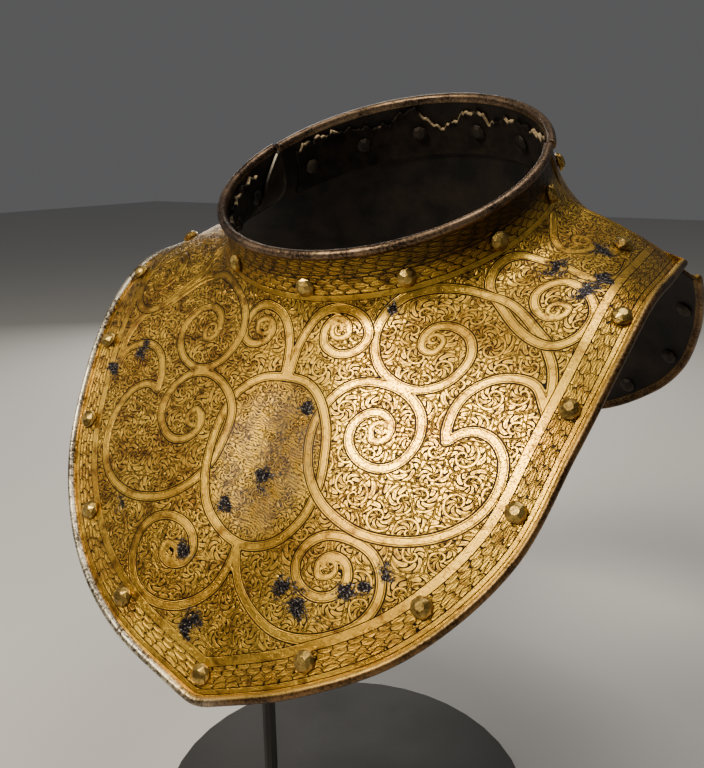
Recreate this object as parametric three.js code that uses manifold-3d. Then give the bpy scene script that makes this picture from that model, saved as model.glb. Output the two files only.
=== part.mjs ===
// Etched and gilded gorget on a plain stand.
// A front plate and a back plate meet in a ring around the neck. The back plate turns on a rivet at the
// wearer's left shoulder and opens at the right shoulder, where a stud runs in a slot.
// Millimetres. +Z is up, the front faces -Y and the wearer's left is +X. The floor is Z = 0.
import * as THREE from 'three';
import Module from 'manifold-3d';

const wasm = await Module();
wasm.setup();

// Plates
const sheet = 1.5;
const neckRadius = 77;
const ringHeight = 330;
const tiltDegrees = 26;
const collarHeight = 24;
const collarFlare = 4;
const filletReach = 12;
const crown = 2;
const neckRoll = 2.25;
const edgeRoll = 2;
const halfWidth = 135;
const frontReach = 146.5;
const frontDrop = 202;
const backReach = 124;
const backDrop = 145;
const seamTurn = 105;
const seamGapTurn = 0.6;
const backStep = 1;
const plateClearance = 0.9;
const catchPlay = 1.2;
const pivotDrop = 0.6;
const catchDrop = 1.5;

// Rivets
const headRadius = 4.4;
const headHeight = 3.4;
const shankRadius = 1.8;
const washerRadius = 4.2;
const washerHeight = 1;
const peenHeight = 0.9;
const rivetSides = 8;
const fit = 0.3;
const facetPlay = 0.25;
const holeRadius = shankRadius + 0.45;

// Shoulder tongue and catch slot
const tongueFrontTurn = 81;
const tongueRootTurn = 109;
const tongueInner = 2.22;
const tongueOuter = 2.9;
const pivot = { turn: 92, share: 2.47 };
const catchStud = { turn: -85, share: 2.68 };
const slotLength = 30;
const tuckTurn = 12;

// Leather lining
const leather = 1.6;
const liningTop = 0.42;
const liningFoot = 1.7;
const liningMargin = 7;

// Stand
const baseRadius = 95;
const baseHeight = 8;
const baseCentreY = -35;
const postRadius = 2.9;
const postY = -99;
const bowDepth = 108;
const bowY = -58;
const bowStem = 6;
const bowBends = [
  { side: 70, y: -42, share: 0.8 },
  { side: 38, y: -52, share: 0.945 },
];
const padTurn = 50;
const padShare = 2.3;
const padRadius = 7.5;
const padHeight = 3;
const padPlay = 0.5;

// Colours from the photograph
const gildedSteel = { color: 0x6b5636, roughness: 0.45, metalness: 0.9 };
const gilding = { color: 0xb08a4a, roughness: 0.35, metalness: 1 };
const leatherTan = { color: 0x6a4a30, roughness: 0.85, metalness: 0 };
const blackIron = { color: 0x1d1b1a, roughness: 0.6, metalness: 0.7 };
const darkFelt = { color: 0x24211f, roughness: 0.95, metalness: 0 };

// Places of the outer edge as shares of half the width, of the front's reach and of its drop below the
// neck ring. Turn is the angle around the ring, from the front centre, where the fold under each starts.
const frontRows = [
  { turn: 0, side: 0, reach: 1, drop: 1 },
  { turn: 12, side: 0.335, reach: 0.973, drop: 0.914 },
  { turn: 24, side: 0.62, reach: 0.86, drop: 0.816 },
  { turn: 36, side: 0.83, reach: 0.696, drop: 0.662 },
  { turn: 48, side: 0.92, reach: 0.519, drop: 0.481 },
  { turn: 60, side: 0.97, reach: 0.348, drop: 0.349 },
  { turn: 72, side: 0.993, reach: 0.164, drop: 0.259 },
  { turn: 88, side: 1, reach: -0.048, drop: 0.227 },
  { turn: 105, side: 0.996, reach: -0.239, drop: 0.209 },
];

// The same for the back plate, with shares of its own reach and drop.
const backRows = [
  { turn: 105, side: 1.041, reach: 0.31, drop: 0.33 },
  { turn: 111, side: 1.04, reach: 0.42, drop: 0.425 },
  { turn: 118, side: 1.015, reach: 0.55, drop: 0.55 },
  { turn: 127, side: 0.955, reach: 0.675, drop: 0.69 },
  { turn: 137, side: 0.84, reach: 0.775, drop: 0.81 },
  { turn: 150, side: 0.62, reach: 0.88, drop: 0.93 },
  { turn: 165, side: 0.32, reach: 0.965, drop: 0.985 },
  { turn: 180, side: 0, reach: 1, drop: 1 },
];

// Border rivets on one side of the object, with how far each sits in from the edge
const frontBorder = [
  { turn: 0, inset: 12 },
  { turn: 13, inset: 12.5 },
  { turn: 26, inset: 14 },
  { turn: 38.5, inset: 13.5 },
  { turn: 50.5, inset: 12 },
  { turn: 67, inset: 9 },
];
const backBorder = [115, 128, 142, 160, 180].map((turn) => ({ turn, inset: 11 }));

// Turns of the collar rivets
const frontCollarTurns = [-86, -65, -34, 1, 33, 63, 93];
const backCollarTurns = [118, 143, 167];
const collarRivetShare = 1.1;

const ringCentre = new THREE.Vector3(0, 0, ringHeight);
const tilt = THREE.MathUtils.degToRad(tiltDegrees);
const forward = new THREE.Vector3(0, -Math.cos(tilt), -Math.sin(tilt));
const neckAxis = new THREE.Vector3(0, -Math.sin(tilt), Math.cos(tilt));

// Direction away from the neck's axis at one turn around the ring
function radial(turn) {
  const angle = THREE.MathUtils.degToRad(turn);
  return new THREE.Vector3(Math.sin(angle), 0, 0).addScaledVector(forward, Math.cos(angle));
}

// The back's rows carried past its centre, so that its curve crosses the centre smoothly
const beyond = { ...backRows[backRows.length - 2] };
beyond.turn = 360 - beyond.turn;
beyond.side *= -1;
const wholeBackRows = [...backRows, beyond];

// Smooth curve through one column of a table of rows
function along(rows, turn, column) {
  let k = 0;
  while (k < rows.length - 2 && turn > rows[k + 1].turn) k += 1;
  const slope = (i) => {
    const a = rows[Math.max(i - 1, 0)];
    const b = rows[Math.min(i + 1, rows.length - 1)];
    return (b[column] - a[column]) / (b.turn - a.turn);
  };
  const span = rows[k + 1].turn - rows[k].turn;
  const t = (turn - rows[k].turn) / span;
  const leaving = slope(k) * span * (t ** 3 - 2 * t ** 2 + t);
  const start = rows[k][column] * (2 * t ** 3 - 3 * t ** 2 + 1) + leaving;
  const end = rows[k + 1][column] * (3 * t ** 2 - 2 * t ** 3) + slope(k + 1) * span * (t ** 3 - t ** 2);
  return start + end;
}

// Outer edge of the front plate and of the back plate
function frontEdge(turn) {
  const side = Math.sign(turn) * along(frontRows, Math.abs(turn), 'side') * halfWidth;
  const reach = along(frontRows, Math.abs(turn), 'reach') * frontReach;
  const drop = along(frontRows, Math.abs(turn), 'drop') * frontDrop;
  return new THREE.Vector3(side, -reach, ringHeight - drop);
}

function backEdge(turn) {
  const folded = turn > 180 ? 360 - turn : turn;
  const side = Math.sign(180 - turn) * along(wholeBackRows, folded, 'side') * halfWidth;
  const reach = along(wholeBackRows, folded, 'reach') * backReach;
  const drop = along(wholeBackRows, folded, 'drop') * backDrop;
  return new THREE.Vector3(side, reach, ringHeight - drop);
}

// Outer skin of a plate. Share 0 to 1 runs down the collar, 1 to 2 around the fold under it and 2 to 3
// out to the edge.
function skin(plate, turn, share) {
  const out = radial(turn);
  const radius = plate.neck(turn);
  const neck = ringCentre.clone().addScaledVector(out, radius);
  const corner = ringCentre.clone().addScaledVector(out, radius + collarFlare);
  corner.addScaledVector(neckAxis, -plate.height);
  const up = neck.clone().sub(corner).normalize();
  const edge = plate.edge(turn);
  const down = edge.clone().sub(corner).normalize();
  edge.addScaledVector(down, -edgeRoll);
  const foldTop = corner.clone().addScaledVector(up, filletReach);
  const foldEnd = corner.clone().addScaledVector(down, filletReach);
  if (share < 1) return neck.lerp(foldTop, share);
  if (share < 2) {
    const t = share - 1;
    const point = foldTop.multiplyScalar((1 - t) ** 2);
    point.addScaledVector(corner, 2 * t * (1 - t));
    return point.addScaledVector(foldEnd, t ** 2);
  }
  const t = share - 2;
  const lift = up.clone().addScaledVector(down, -up.dot(down)).normalize();
  return foldEnd.lerp(edge, t).addScaledVector(lift, 4 * crown * t * (1 - t));
}

// Outward normal of the skin, and a point at some depth under it
function normalAt(plate, turn, share) {
  const step = 0.02;
  const across = skin(plate, turn + step, share).sub(skin(plate, turn - step, share));
  const s = Math.min(Math.max(share, step), 3 - step);
  const downward = skin(plate, turn, s + step).sub(skin(plate, turn, s - step));
  return downward.cross(across).normalize();
}

function under(plate, turn, share, depth) {
  return skin(plate, turn, share).addScaledVector(normalAt(plate, turn, share), -depth);
}

// The back collar stands a step outside the front one at the pivot and lies inside it at the catch.
const underFront = sheet + plateClearance;

function backNeck(turn) {
  const share = THREE.MathUtils.smoothstep(turn, seamTurn, 360 - seamTurn);
  return neckRadius + backStep - (backStep + underFront) * share;
}

const front = { neck: () => neckRadius, height: collarHeight, edge: frontEdge };
const back = { neck: backNeck, height: collarHeight + underFront, edge: backEdge };

// Turn a list of points and triangles into a solid, facing outwards
function solid(points, triangles) {
  const flat = new Float32Array(points.flatMap((p) => [p.x, p.y, p.z]));
  const faces = new Uint32Array(triangles.flat());
  const made = new wasm.Manifold(new wasm.Mesh({ numProp: 3, vertProperties: flat, triVerts: faces }));
  if (made.volume() > 0) return made;
  const turned = new Uint32Array(triangles.flatMap(([a, b, c]) => [a, c, b]));
  return new wasm.Manifold(new wasm.Mesh({ numProp: 3, vertProperties: flat, triVerts: turned }));
}

// A closed three.js geometry as a solid, with its equal points joined
function solidOf(geometry) {
  const place = geometry.getAttribute('position');
  const index = geometry.index ? Array.from(geometry.index.array) : [...Array(place.count).keys()];
  const seen = new Map();
  const points = [];
  const joined = index.map((i) => {
    const point = new THREE.Vector3().fromBufferAttribute(place, i);
    const key = point.toArray().map((x) => Math.round(x * 1e4)).join(' ');
    if (!seen.has(key)) seen.set(key, points.push(point) - 1);
    return seen.get(key);
  });
  const triangles = [];
  for (let i = 0; i < joined.length; i += 3) {
    const [a, b, c] = joined.slice(i, i + 3);
    if (a !== b && b !== c && c !== a) triangles.push([a, b, c]);
  }
  return solid(points, triangles);
}

// The outer shell of a solid, without the specks of air that two crossing sheets can shut in
function outerShell(made) {
  const { vertProperties, triVerts } = made.getMesh();
  const points = [];
  for (let i = 0; i < vertProperties.length; i += 3) {
    points.push(new THREE.Vector3().fromArray(vertProperties, i));
  }
  const group = points.map((_, i) => i);
  const rootOf = (i) => {
    let k = i;
    while (group[k] !== k) k = group[k];
    return k;
  };
  const triangles = [];
  for (let i = 0; i < triVerts.length; i += 3) {
    const [a, b, c] = triVerts.slice(i, i + 3);
    triangles.push([a, b, c]);
    const root = rootOf(a);
    group[rootOf(b)] = root;
    group[rootOf(c)] = root;
  }
  const volumes = new Map();
  triangles.forEach(([a, b, c]) => {
    const part = points[a].dot(points[b].clone().cross(points[c])) / 6;
    volumes.set(rootOf(a), (volumes.get(rootOf(a)) ?? 0) + part);
  });
  const [largest] = [...volumes].sort((p, q) => q[1] - p[1])[0];
  const kept = triangles.filter(([a]) => rootOf(a) === largest);
  const used = [...new Set(kept.flat())];
  const place = new Map(used.map((vertex, i) => [vertex, i]));
  return solid(used.map((vertex) => points[vertex]), kept.map((face) => face.map((v) => place.get(v))));
}

// A solid as a named mesh with its own material
function meshOf(name, made, finish) {
  const { vertProperties, triVerts } = made.getMesh();
  const geometry = new THREE.BufferGeometry();
  geometry.setAttribute('position', new THREE.BufferAttribute(new Float32Array(vertProperties), 3));
  geometry.setIndex(new THREE.BufferAttribute(new Uint32Array(triVerts), 1));
  geometry.computeVertexNormals();
  const mesh = new THREE.Mesh(geometry, new THREE.MeshStandardMaterial(finish));
  mesh.name = name;
  return mesh;
}

// Half of a rolled edge in section: a wire of sheet turned outwards, flush with the sheet inside
function rolledEdge(end, outward, away, radius) {
  const centre = radius - sheet;
  const last = THREE.MathUtils.radToDeg(Math.acos(-centre / radius));
  const angles = [180, 135, 90, 45, 0, -50, -last];
  return angles.map((angle) => {
    const a = THREE.MathUtils.degToRad(angle);
    const point = end.clone().addScaledVector(outward, centre + radius * Math.cos(a));
    return point.addScaledVector(away, radius * Math.sin(a));
  });
}

// Shares at which every section has its points, and the turns of the front plate's sections
const foldShares = [0.85, 1.2, 1.5, 1.8];
const slopeShares = [2.1, 2.4, 2.7];

// Closed section through a plate at one turn
function plateSection(plate, turn) {
  const shares = [...foldShares, ...slopeShares];
  const top = skin(plate, turn, 0);
  const up = top.clone().sub(skin(plate, turn, 0.3)).normalize();
  const end = skin(plate, turn, 3);
  const out = end.clone().sub(skin(plate, turn, 2.95)).normalize();
  const neckRing = rolledEdge(top, normalAt(plate, turn, 0), up, neckRoll);
  const edgeRing = rolledEdge(end, normalAt(plate, turn, 3), out, edgeRoll).reverse();
  const outer = shares.map((share) => skin(plate, turn, share));
  const inner = shares.map((share) => under(plate, turn, share, sheet)).reverse();
  return [...neckRing, ...outer, ...edgeRing, ...inner];
}

// Evenly spaced turns over half a plate, then the same mirrored about its centre
function evenTurns(centre, half, steps, nearCentre) {
  const turns = [];
  for (let i = -steps; i <= steps; i += 1) {
    const share = Math.abs(i) / steps;
    turns.push(centre + Math.sign(i) * half * (nearCentre * share + (1 - nearCentre) * share ** 2));
  }
  return turns;
}

// Plate through a list of turns, closed at both ends
function plateSolid(plate, turns, centre) {
  const points = [];
  const triangles = [];
  let count = 0;
  turns.forEach((turn, i) => {
    const ring = plateSection(plate, turn);
    count = ring.length;
    points.push(...ring);
    if (i === 0) return;
    for (let j = 0; j < count; j += 1) {
      const a = (i - 1) * count + j;
      const b = (i - 1) * count + ((j + 1) % count);
      const quad = [a, b, b + count, a + count];
      const [p, q, r, t] = turn > centre + 0.01 ? quad : [...quad.slice(1), quad[0]];
      triangles.push([p, q, r], [p, r, t]);
    }
  });
  const steps = turns.length - 1;
  const startTurn = turns[0];
  const endTurn = turns[steps];
  const cap = (first, turn, flip) => {
    const out = radial(turn);
    const flat = points.slice(first, first + count).map((p) => {
      const place = p.clone().sub(ringCentre);
      return new THREE.Vector2(place.dot(out), place.dot(neckAxis));
    });
    THREE.ShapeUtils.triangulateShape(flat, []).forEach(([a, b, c]) => {
      triangles.push(flip ? [first + a, first + c, first + b] : [first + a, first + b, first + c]);
    });
  };
  const clockwise = THREE.ShapeUtils.isClockWise(
    points.slice(0, count).map((p) => {
      const place = p.clone().sub(ringCentre);
      return new THREE.Vector2(place.dot(radial(startTurn)), place.dot(neckAxis));
    }),
  );
  cap(0, startTurn, !clockwise);
  cap(steps * count, endTurn, clockwise);
  return solid(points, triangles);
}

// Thin wall between two depths under a patch of skin. place(u, v) gives the skin's point and normal.
function wallSolid(place, lengthSteps, widthSteps, outerDepth, innerDepth) {
  const points = [];
  const triangles = [];
  [outerDepth, innerDepth].forEach((depth) => {
    for (let i = 0; i <= lengthSteps; i += 1) {
      for (let j = 0; j <= widthSteps; j += 1) {
        const { point, normal } = place(i / lengthSteps, j / widthSteps);
        points.push(point.clone().addScaledVector(normal, -depth));
      }
    }
  });
  const row = widthSteps + 1;
  const layer = row * (lengthSteps + 1);
  const quad = (a, b, c, d) => triangles.push([a, b, c], [a, c, d]);
  for (let i = 0; i < lengthSteps; i += 1) {
    for (let j = 0; j < widthSteps; j += 1) {
      const a = i * row + j;
      quad(a, a + 1, a + row + 1, a + row);
      quad(layer + a, layer + a + row, layer + a + row + 1, layer + a + 1);
    }
    const near = i * row;
    const far = near + widthSteps;
    quad(near, near + row, layer + near + row, layer + near);
    quad(far, layer + far, layer + far + row, far + row);
  }
  for (let j = 0; j < widthSteps; j += 1) {
    const last = lengthSteps * row + j;
    quad(j, layer + j, layer + j + 1, j + 1);
    quad(last, last + 1, layer + last + 1, layer + last);
  }
  return solid(points, triangles);
}

// Shoulder tongue of the back plate, which runs forward under the front plate. side is 1 at the
// wearer's left and -1 at the right.
function tonguePlace(side) {
  return (u, v) => {
    const turn = tongueFrontTurn + (tongueRootTurn - tongueFrontTurn) * u;
    const taper = Math.min(1, 0.5 + 2.2 * u);
    const middle = (tongueInner + tongueOuter) / 2;
    const share = middle + (v - 0.5) * (tongueOuter - tongueInner) * taper;
    const blend = THREE.MathUtils.smoothstep(turn, seamTurn, tongueRootTurn);
    const drop = side > 0 ? pivotDrop : catchDrop;
    const frontPoint = under(front, side * turn, share, underFront + drop);
    const behind = Math.max(turn, seamTurn);
    const backTurn = side > 0 ? behind : 360 - behind;
    const point = frontPoint.lerp(skin(back, backTurn, share), blend);
    const normal = normalAt(front, side * turn, share).lerp(normalAt(back, backTurn, share), blend);
    return { point, normal: normal.normalize() };
  };
}

function tongueSolid(side) {
  return wallSolid(tonguePlace(side), 12, 3, 0.05, sheet - 0.05);
}

// Slanted end of the back collar, which tucks inside the front collar at the wearer's right
function tuckSolid() {
  const place = (u, v) => {
    const share = 0.3 + 1.1 * v;
    const turn = -(seamTurn + 3) + (3 + tuckTurn * Math.min(1, 0.12 + 0.88 * v)) * u;
    const point = under(front, Math.max(turn, -seamTurn), share, underFront);
    if (turn < -seamTurn) point.copy(skin(back, 360 + turn, share));
    return { point, normal: normalAt(front, turn, share) };
  };
  return wallSolid(place, 5, 4, 0.05, sheet - 0.05);
}

// Straight hole through whatever lies around one place on a plate
function drill(plate, turn, share, radius) {
  const cutter = wasm.Manifold.cylinder(24, radius, radius, rivetSides, true);
  return placed(cutter, plate, turn, share);
}

function placed(made, plate, turn, share) {
  const matrix = frameAt(plate, turn, share);
  return made.transform(matrix.toArray());
}

// Frame whose Z is the plate's outward normal at one place
function frameAt(plate, turn, share) {
  const z = normalAt(plate, turn, share);
  const x = radial(turn + 90).projectOnPlane(z).normalize();
  const y = z.clone().cross(x);
  const matrix = new THREE.Matrix4().makeBasis(x, y, z);
  return matrix.setPosition(skin(plate, turn, share));
}

// Share down the slope at which a rivet sits a fixed way in from the edge
function borderRivet(plate, turn, inset) {
  const length = skin(plate, turn, 2).distanceTo(skin(plate, turn, 3));
  return { turn, share: 3 - (inset - edgeRoll) / length, held: 0 };
}

// Turn on the other side of the object, or none for a turn on the centre line
function mirrored(turn) {
  if (turn === 0 || turn === 180) return [];
  return [turn > seamTurn ? 360 - turn : -turn];
}

// Every rivet of each plate: its place, and what it holds besides the plate
function rivetsOf(plate, border, collarTurns) {
  const row = border.flatMap(({ turn, inset }) => {
    return [turn, ...mirrored(turn)].map((t) => borderRivet(plate, t, inset));
  });
  const ring = collarTurns.map((turn) => ({ turn, share: collarRivetShare, held: leather + 2 * fit }));
  return [...row, ...ring];
}

const backCollar = backCollarTurns.flatMap((turn) => [turn, ...mirrored(turn)]);
const frontRivets = rivetsOf(front, frontBorder, frontCollarTurns);
const backRivets = rivetsOf(back, backBorder, backCollar);

// Highest and lowest points of the skin around one place, over and under its tangent plane
function swell(plate, turn, share, radius) {
  const middle = skin(plate, turn, share);
  const normal = normalAt(plate, turn, share);
  const step = 0.02;
  const perTurn = skin(plate, turn + step, share).distanceTo(middle) / step;
  const perShare = skin(plate, turn, share + step).distanceTo(middle) / step;
  const heights = [0, 1, 2, 3, 4, 5, 6, 7].map((k) => {
    const angle = (k * Math.PI) / 4;
    const turnThere = turn + (radius * Math.cos(angle)) / perTurn;
    const shareThere = Math.min(share + (radius * Math.sin(angle)) / perShare, 3);
    return skin(plate, turnThere, shareThere).sub(middle).dot(normal);
  });
  return { high: Math.max(0, ...heights), low: Math.min(0, ...heights) };
}

// Rivet with a faceted head outside and a domed washer under its spread end inside
function rivetMesh(name, plate, { turn, share, held }) {
  const { high, low } = swell(plate, turn, share, headRadius);
  const seat = fit + high + facetPlay;
  const foot = low - (sheet + held + fit + facetPlay);
  const profile = [
    [0, foot - washerHeight - peenHeight],
    [washerRadius, foot],
    [shankRadius, foot],
    [shankRadius, seat],
    [headRadius, seat],
    [headRadius * 0.78, seat + headHeight * 0.6],
    [0, seat + headHeight],
  ].map(([radius, height]) => new THREE.Vector2(radius, height));
  const geometry = new THREE.LatheGeometry(profile, rivetSides).rotateX(Math.PI / 2);
  const mesh = meshOf(name, solidOf(geometry), gilding);
  mesh.applyMatrix4(frameAt(plate, turn, share));
  return mesh;
}

const gorget = new THREE.Group();
gorget.name = 'gorget_on_stand';

// Front plate
let frontSolid = plateSolid(front, evenTurns(0, seamTurn, 24, 0.7), 0);
frontRivets.forEach(({ turn, share }) => {
  frontSolid = frontSolid.subtract(drill(front, turn, share, holeRadius));
});
[pivot, catchStud].forEach(({ turn, share }) => {
  frontSolid = frontSolid.subtract(drill(front, turn, share, holeRadius));
});
gorget.add(meshOf('front_plate', frontSolid, gildedSteel));

// Back plate
const backStart = seamTurn + seamGapTurn;
let backSolid = plateSolid(back, evenTurns(180, 180 - backStart, 14, 1), 180);
backSolid = backSolid.add(tongueSolid(1)).add(tongueSolid(-1)).add(tuckSolid());
backRivets.forEach(({ turn, share }) => {
  backSolid = backSolid.subtract(drill(back, turn, share, holeRadius));
});
backSolid = backSolid.subtract(drill(front, pivot.turn, pivot.share, holeRadius));
const slotWidth = 2 * (holeRadius + 0.2);
const slotCutter = wasm.Manifold.cube([slotLength, slotWidth, 24], true).translate([slotLength / 2, 0, 0]);
const slot = slotCutter.add(wasm.Manifold.cylinder(24, slotWidth / 2, slotWidth / 2, 12, true));
backSolid = backSolid.subtract(placed(slot, front, catchStud.turn, catchStud.share));
gorget.add(meshOf('back_plate', outerShell(backSolid), gildedSteel));

// Rivets
frontRivets.forEach((rivet, i) => gorget.add(rivetMesh(`front_rivet_${i + 1}`, front, rivet)));
backRivets.forEach((rivet, i) => gorget.add(rivetMesh(`back_rivet_${i + 1}`, back, rivet)));
gorget.add(rivetMesh('shoulder_pivot', front, { ...pivot, held: plateClearance + pivotDrop + sheet + fit }));
const catchHeld = plateClearance + catchDrop + sheet + catchPlay;
gorget.add(rivetMesh('catch_stud', front, { ...catchStud, held: catchHeld }));

// Leather lining left inside each collar, with a ragged upper edge
function liningMesh(name, plate, startTurn, endTurn, rivets) {
  const place = (u, v) => {
    const turn = startTurn + (endTurn - startTurn) * u;
    const ragged = 0.1 * Math.sin(turn * 0.31) + 0.08 * Math.sin(turn * 0.83 + 1);
    const shares = [liningTop + ragged, ...foldShares.slice(0, -1), liningFoot];
    const share = shares[Math.round(v * (shares.length - 1))];
    return { point: skin(plate, turn, share), normal: normalAt(plate, turn, share) };
  };
  let made = wallSolid(place, 20, foldShares.length, sheet + fit, sheet + fit + leather);
  rivets.filter(({ held }) => held > 0).forEach(({ turn, share }) => {
    made = made.subtract(drill(plate, turn, share, holeRadius));
  });
  return meshOf(name, made, leatherTan);
}

const liningEnd = seamTurn - liningMargin;
gorget.add(liningMesh('front_lining', front, -seamTurn + tuckTurn + 3, liningEnd, frontRivets));
gorget.add(liningMesh('back_lining', back, seamTurn + liningMargin, 360 - seamTurn - liningMargin, backRivets));

// Stand
const baseGeometry = new THREE.CylinderGeometry(baseRadius, baseRadius, baseHeight, 40).rotateX(Math.PI / 2);
baseGeometry.translate(0, baseCentreY, baseHeight / 2);
const socket = wasm.Manifold.cylinder(baseHeight, postRadius + fit, postRadius + fit, 12);
const baseSolid = solidOf(baseGeometry).subtract(socket.translate([0, postY, baseHeight / 2]));
gorget.add(meshOf('stand_base', baseSolid, blackIron));

function rodSolid(points, steps) {
  const path = new THREE.CatmullRomCurve3(points, false, 'centripetal');
  const round = new THREE.Shape().absarc(0, 0, postRadius, 0, 2 * Math.PI);
  const settings = { steps, extrudePath: path, curveSegments: 4 };
  return solidOf(new THREE.ExtrudeGeometry(round, settings));
}

const padDepth = sheet + fit + padPlay;
const rodDepth = padDepth + padHeight + fit;
const padEnd = (side, depth) => under(front, side * padTurn, padShare, depth);
const bowCentre = new THREE.Vector3(0, bowY, ringHeight - bowDepth);
const halfBow = (side) => [
  padEnd(side, rodDepth),
  padEnd(side, rodDepth + bowStem),
  ...bowBends.map((bend) => {
    return new THREE.Vector3(side * bend.side, bend.y, ringHeight - bend.share * bowDepth);
  }),
];
const bow = rodSolid([...halfBow(-1), bowCentre, ...halfBow(1).reverse()], 20);
const postTop = ringHeight - 1.5 * bowDepth;
const post = rodSolid([
  new THREE.Vector3(0, postY, baseHeight / 2 + fit),
  new THREE.Vector3(0, postY, postTop / 2),
  new THREE.Vector3(0, postY, postTop),
  new THREE.Vector3(0, (postY + bowY) / 2 - 6, postTop + 0.3 * bowDepth),
  bowCentre,
], 10);
gorget.add(meshOf('stand_post', post.add(bow), blackIron));

[-1, 1].forEach((side) => {
  const disc = new THREE.CylinderGeometry(padRadius, padRadius, padHeight, 14).rotateX(Math.PI / 2);
  disc.translate(0, 0, -padDepth - padHeight / 2);
  const mesh = meshOf(side < 0 ? 'right_pad' : 'left_pad', solidOf(disc), darkFelt);
  mesh.applyMatrix4(frameAt(front, side * padTurn, padShare));
  gorget.add(mesh);
});

export default gorget;
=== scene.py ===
"""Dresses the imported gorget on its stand. The scene is in metres, and the sizes in the sections are in
millimetres unless they say otherwise."""

import math

import bpy
import numpy as np
from mathutils import Matrix, Vector


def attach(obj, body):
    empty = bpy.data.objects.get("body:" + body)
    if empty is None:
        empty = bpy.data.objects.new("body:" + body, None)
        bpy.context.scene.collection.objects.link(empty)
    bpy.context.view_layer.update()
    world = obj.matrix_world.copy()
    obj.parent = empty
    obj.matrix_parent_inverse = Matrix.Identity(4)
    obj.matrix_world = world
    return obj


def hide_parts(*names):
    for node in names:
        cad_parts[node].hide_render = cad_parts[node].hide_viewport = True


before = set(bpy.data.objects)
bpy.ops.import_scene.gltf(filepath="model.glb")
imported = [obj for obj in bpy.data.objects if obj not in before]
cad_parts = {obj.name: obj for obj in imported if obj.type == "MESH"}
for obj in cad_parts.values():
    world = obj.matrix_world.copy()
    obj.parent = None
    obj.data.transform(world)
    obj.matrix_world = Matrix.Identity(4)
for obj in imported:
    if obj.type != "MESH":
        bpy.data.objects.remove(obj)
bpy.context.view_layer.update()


# Front plate
# One sheet of steel, raised into collar, shoulders and a pointed bib, with its neck edge and its outer
# edge turned over a wire. Its face is etched with scroll bands, foliage and laurel borders, then gilded.

SHEET, NECK_RADIUS, RING_HEIGHT, TILT = 1.5, 77.0, 330.0, math.radians(26)
COLLAR_HEIGHT, COLLAR_FLARE, FOLD_REACH, CROWN = 24.0, 4.0, 12.0, 2.0
NECK_ROLL, EDGE_ROLL, HALF_WIDTH, SEAM = 2.25, 2.0, 135.0, 105.0
FRONT_REACH, FRONT_DROP, TIP_ROUNDING = 146.5, 202.0, 3.0
FORWARD = np.array([0, -math.cos(TILT), -math.sin(TILT)])
NECK_AXIS = np.array([0, -math.sin(TILT), math.cos(TILT)])
RING_CENTRE = np.array([0, 0, RING_HEIGHT])

# turn around the neck, then the edge's side, reach and drop as shares of the three lengths named above
FRONT_EDGE = np.array([
    [0, 0, 1, 1], [12, 0.335, 0.973, 0.914], [24, 0.62, 0.86, 0.816], [36, 0.83, 0.696, 0.662],
    [48, 0.92, 0.519, 0.481], [60, 0.97, 0.348, 0.349], [72, 0.993, 0.164, 0.259],
    [88, 1, -0.048, 0.227], [105, 0.996, -0.239, 0.209],
])


def unit(v):
    """Each vector divided by its length."""
    return v / np.maximum(np.linalg.norm(v, axis=-1, keepdims=True), 1e-12)


def through(rows, turn, column):
    """Cubic through one column of a table: on each span, the values at both ends and their slopes, which are
    the chords of the rows beside them, are mixed by the four cubic weights that keep both."""
    x, y = rows[:, 0], rows[:, column]
    i = np.arange(len(x))
    before, after = np.maximum(i - 1, 0), np.minimum(i + 1, len(x) - 1)
    slope = (y[after] - y[before]) / (x[after] - x[before])
    k = np.clip(np.searchsorted(x, turn, side="left") - 1, 0, len(x) - 2)
    span = x[k + 1] - x[k]
    t = (turn - x[k]) / span
    start = y[k] * (2 * t**3 - 3 * t**2 + 1) + slope[k] * span * (t**3 - 2 * t**2 + t)
    return start + y[k + 1] * (3 * t**2 - 2 * t**3) + slope[k + 1] * span * (t**3 - t**2)


def front_edge(turn):
    """Outer edge: side, reach and drop read from the table at the turn's size t, the side taking its sign.
    Reach and drop read it at t^2 / sqrt(t^2 + r^2), which rounds the tip."""
    t = np.abs(turn)
    side = np.sign(turn) * through(FRONT_EDGE, t, 1) * HALF_WIDTH
    t = t**2 / np.sqrt(t**2 + TIP_ROUNDING**2)
    reach, drop = through(FRONT_EDGE, t, 2) * FRONT_REACH, through(FRONT_EDGE, t, 3) * FRONT_DROP
    return np.stack([side, -reach, RING_HEIGHT - drop], -1)


FRONT = {"neck": lambda turn: np.full_like(turn, NECK_RADIUS), "height": COLLAR_HEIGHT, "edge": front_edge}


def around(turn):
    """Unit vector away from the neck's axis: sin(turn) across and cos(turn) forward."""
    a = np.radians(turn)[..., None]
    return np.sin(a) * np.array([1.0, 0, 0]) + np.cos(a) * FORWARD


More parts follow.
